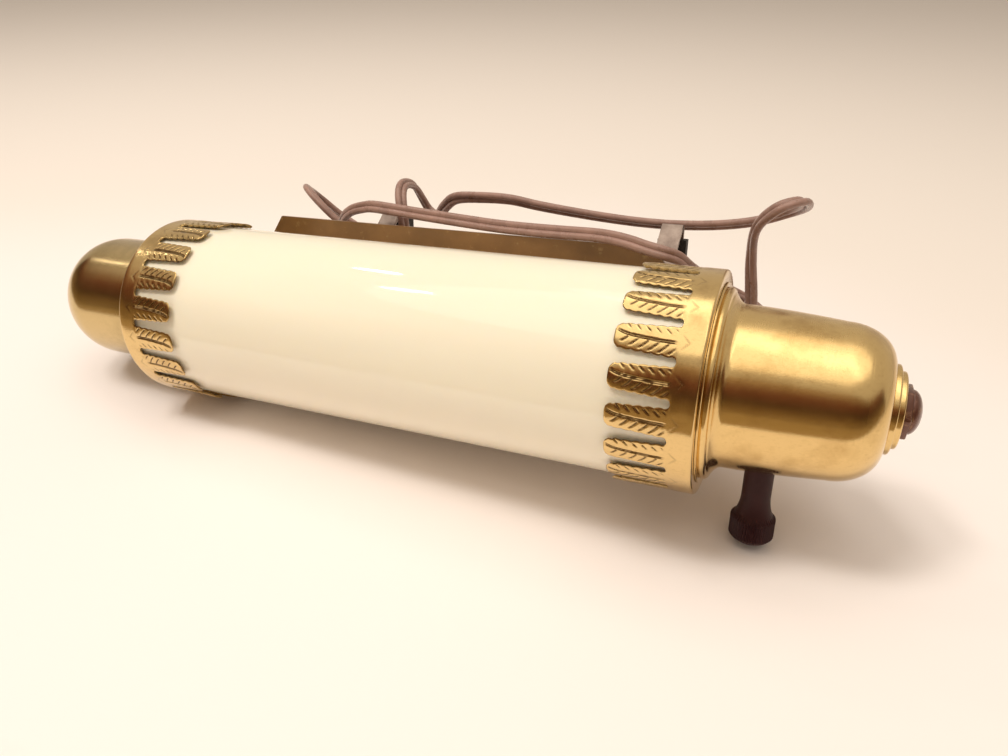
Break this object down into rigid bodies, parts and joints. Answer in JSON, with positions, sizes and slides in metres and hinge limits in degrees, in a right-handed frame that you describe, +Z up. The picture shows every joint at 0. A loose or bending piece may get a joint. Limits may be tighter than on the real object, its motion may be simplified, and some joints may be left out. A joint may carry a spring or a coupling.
{
  "type": "headboard reading lamp",
  "caption": "Tubular opal glass reading lamp with pierced brass end galleries, end cups, turn switch and rear hooks that hang it over a headboard.",
  "frame": {"origin": "on the table, under the middle of the lamp's length and depth, without its cord", "axes": "+X along the lamp towards the end with the switch and cord, +Y towards the hooks at the back, +Z up"},
  "size_m": [0.3091, 0.1666, 0.0905],
  "materials": {
    "opal_glass": "white opal glass, glossy",
    "clear_glass": "clear, glossy",
    "gallery_brass": "stamped leaves, aged and darkened in the lines",
    "cup_brass": "polished, lightly tarnished",
    "cap_brass": "duller than the right cup, tarnished",
    "socket_brass": "plain",
    "plate_enamel": "bronze paint, worn",
    "bracket_steel": "dull plating",
    "hook_steel": "dull plating, tarnished",
    "rivet_steel": "dull",
    "screw_steel": "dull",
    "felt": "pressed felt",
    "knob_bakelite": "moulded, dark brown",
    "nut_enamel": "dark brown, glossy",
    "insulator": "moulded, matt",
    "switch_case": "moulded, matt",
    "bulb_metal": "rolled thread",
    "filament_wire": "fine wire on a glass stem",
    "pad_rubber": "black, matt",
    "wire_cover": "cotton covered",
    "sleeve_rubber": "brown, satin",
    "cord_plastic": "brown, slightly translucent",
    "tie_paper": "dark, matt",
    "plug_plastic": "moulded, brown",
    "blade_brass": "plain"
  },
  "bodies": {
    "lamp": {"glass_tube": "opal_glass", "right_gallery": "gallery_brass", "left_gallery": "gallery_brass", "right_felt_ring": "felt", "left_felt_ring": "felt", "right_cup": "cup_brass", "check_ring": "cup_brass", "nipple": "screw_steel", "nipple_locknuts": "screw_steel", "socket_strap": "bracket_steel", "strap_screws": "screw_steel", "socket_shell": "socket_brass", "socket_insulator": "insulator", "screw_shell": "socket_brass", "centre_contact": "socket_brass", "terminal_screws": "socket_brass", "switch_body": "switch_case", "back_plate": "plate_enamel", "right_end_bracket": "bracket_steel", "left_end_bracket": "bracket_steel", "bracket_rivets": "rivet_steel", "gallery_screws": "screw_steel", "right_hook": "hook_steel", "left_hook": "hook_steel", "hook_rivets": "rivet_steel", "right_hook_pad": "pad_rubber", "left_hook_pad": "pad_rubber", "lead_wires": "wire_cover", "cord_sleeve": "sleeve_rubber", "cord_front": "cord_plastic", "cord_back": "cord_plastic", "cord_coil": "cord_plastic", "cord_tie": "tie_paper", "cord_tail": "cord_plastic", "plug_body": "plug_plastic", "plug_blades": "blade_brass"},
    "knob": {"switch_shaft": "screw_steel", "switch_knob": "knob_bakelite"},
    "nut": {"cap_nut": "nut_enamel"},
    "bulb": {"bulb_glass": "clear_glass", "bulb_base": "bulb_metal", "bulb_filament": "filament_wire"},
    "end_cap": {"left_cap": "cap_brass"}
  },
  "joints": [
    {"name": "switch_turn", "type": "hinge", "parent": "lamp", "child": "knob", "pos_m": [0.11868, -0.02379, 0.00526], "axis": [0.0726, -0.1914, -0.9788], "continuous": true},
    {"name": "nut_turn", "type": "hinge", "parent": "lamp", "child": "nut", "pos_m": [0.14967, -0.01517, 0.05185], "axis": [0.9973, 0, 0.074], "continuous": true},
    {"name": "bulb_unscrew", "type": "hinge", "parent": "lamp", "child": "bulb", "pos_m": [0.09796, -0.01517, 0.04802], "axis": [-0.9973, 0, -0.074], "range_deg": [0, 720]},
    {"name": "end_cap_slide", "type": "slide", "parent": "lamp", "child": "end_cap", "axis": [-0.9973, 0, -0.074], "range_m": [0, 0.018]}
  ]
}
